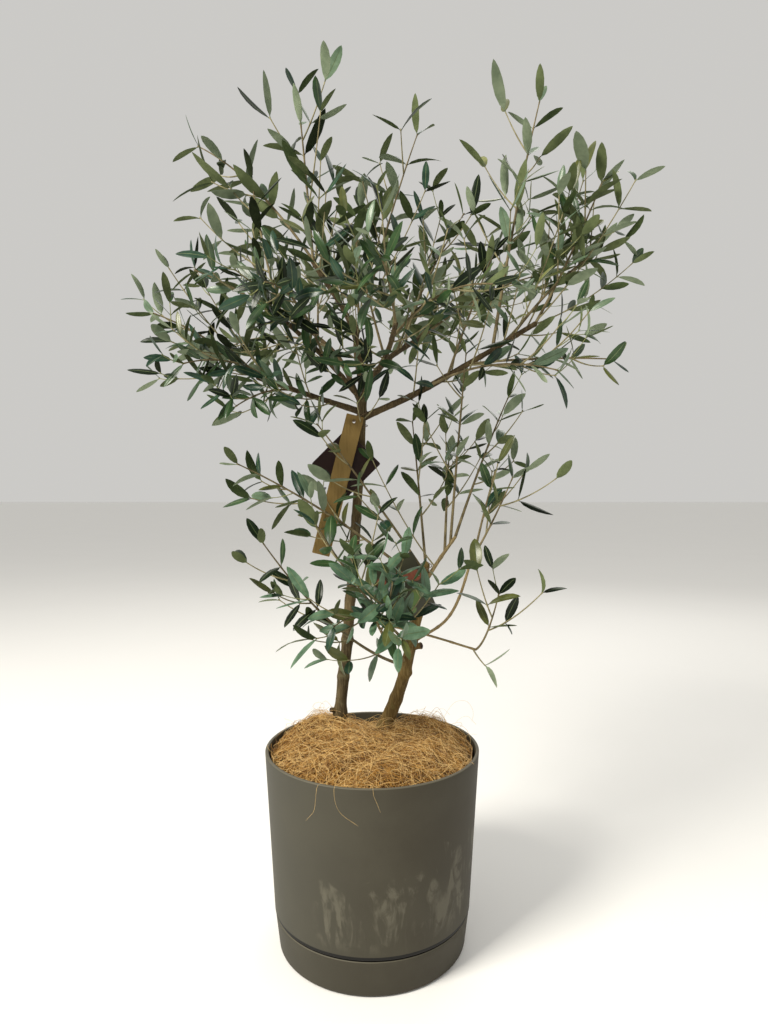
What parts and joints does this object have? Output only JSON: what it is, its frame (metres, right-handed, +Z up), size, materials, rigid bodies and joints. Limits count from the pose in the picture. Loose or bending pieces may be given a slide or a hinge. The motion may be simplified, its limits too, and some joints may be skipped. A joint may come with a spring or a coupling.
{
  "type": "potted olive tree",
  "caption": "Young olive tree with two leaning trunks and a loose, full crown of slender leaves, in a tall round planter that stands in its saucer.",
  "frame": {"origin": "centre of the saucer's flat underside, on the planter's axis", "axes": "+Z up along the planter's axis, -Y towards the front of the plant, +X to the right seen from the front"},
  "size_m": [0.7403, 0.6356, 1.2123],
  "materials": {
    "pot": "matt charcoal grey with pale water stains",
    "saucer": "matt charcoal grey",
    "soil": "dark damp compost",
    "coir": "golden brown coconut fibre mat",
    "bark_dark": "grey-brown young bark",
    "bark_pale": "tan young bark",
    "foliage": "grey-green leaves, paler below, on tan twigs",
    "tag_board": "plain brown board",
    "tag_card": "plain dark brown card"
  },
  "bodies": {
    "root": {"bough_centre": "bark_pale", "bough_front": "bark_pale", "bough_leader": "bark_pale", "bough_left": "bark_pale", "bough_left_back": "bark_pale", "bough_left_high": "bark_pale", "bough_low_arc": "bark_pale", "bough_low_front": "bark_pale", "bough_low_right": "bark_pale", "bough_low_side": "bark_pale", "bough_right": "bark_pale", "bough_right_back": "bark_pale", "coir_mulch": "coir", "foliage_back_centre": "foliage", "foliage_back_left": "foliage", "foliage_back_right": "foliage", "foliage_centre_back": "foliage", "foliage_centre_front": "foliage", "foliage_centre_right": "foliage", "foliage_centre_tall": "foliage", "foliage_front_centre": "foliage", "foliage_front_left": "foliage", "foliage_front_right": "foliage", "foliage_left_back": "foliage", "foliage_left_back_low": "foliage", "foliage_left_droop": "foliage", "foliage_left_far": "foliage", "foliage_left_low": "foliage", "foliage_left_mid": "foliage", "foliage_left_top": "foliage", "foliage_left_upper": "foliage", "foliage_low_back": "foliage", "foliage_low_front": "foliage", "foliage_low_front_up": "foliage", "foliage_low_left_front": "foliage", "foliage_low_left_high": "foliage", "foliage_low_left_low": "foliage", "foliage_low_left_mid": "foliage", "foliage_low_mid": "foliage", "foliage_low_right_far": "foliage", "foliage_low_right_hang": "foliage", "foliage_low_right_long": "foliage", "foliage_low_right_up": "foliage", "foliage_low_tall": "foliage", "foliage_right_back": "foliage", "foliage_right_far": "foliage", "foliage_right_low": "foliage", "foliage_right_low_front": "foliage", "foliage_right_mid": "foliage", "foliage_right_tall": "foliage", "foliage_right_top": "foliage", "foliage_top_leader": "foliage", "pot": "pot", "root_ball": "soil", "saucer": "saucer", "tag_card_high": "tag_card", "tag_card_low": "tag_card", "tag_strip": "tag_board", "trunk_left": "bark_dark", "trunk_right": "bark_pale"}
  },
  "joints": []
}
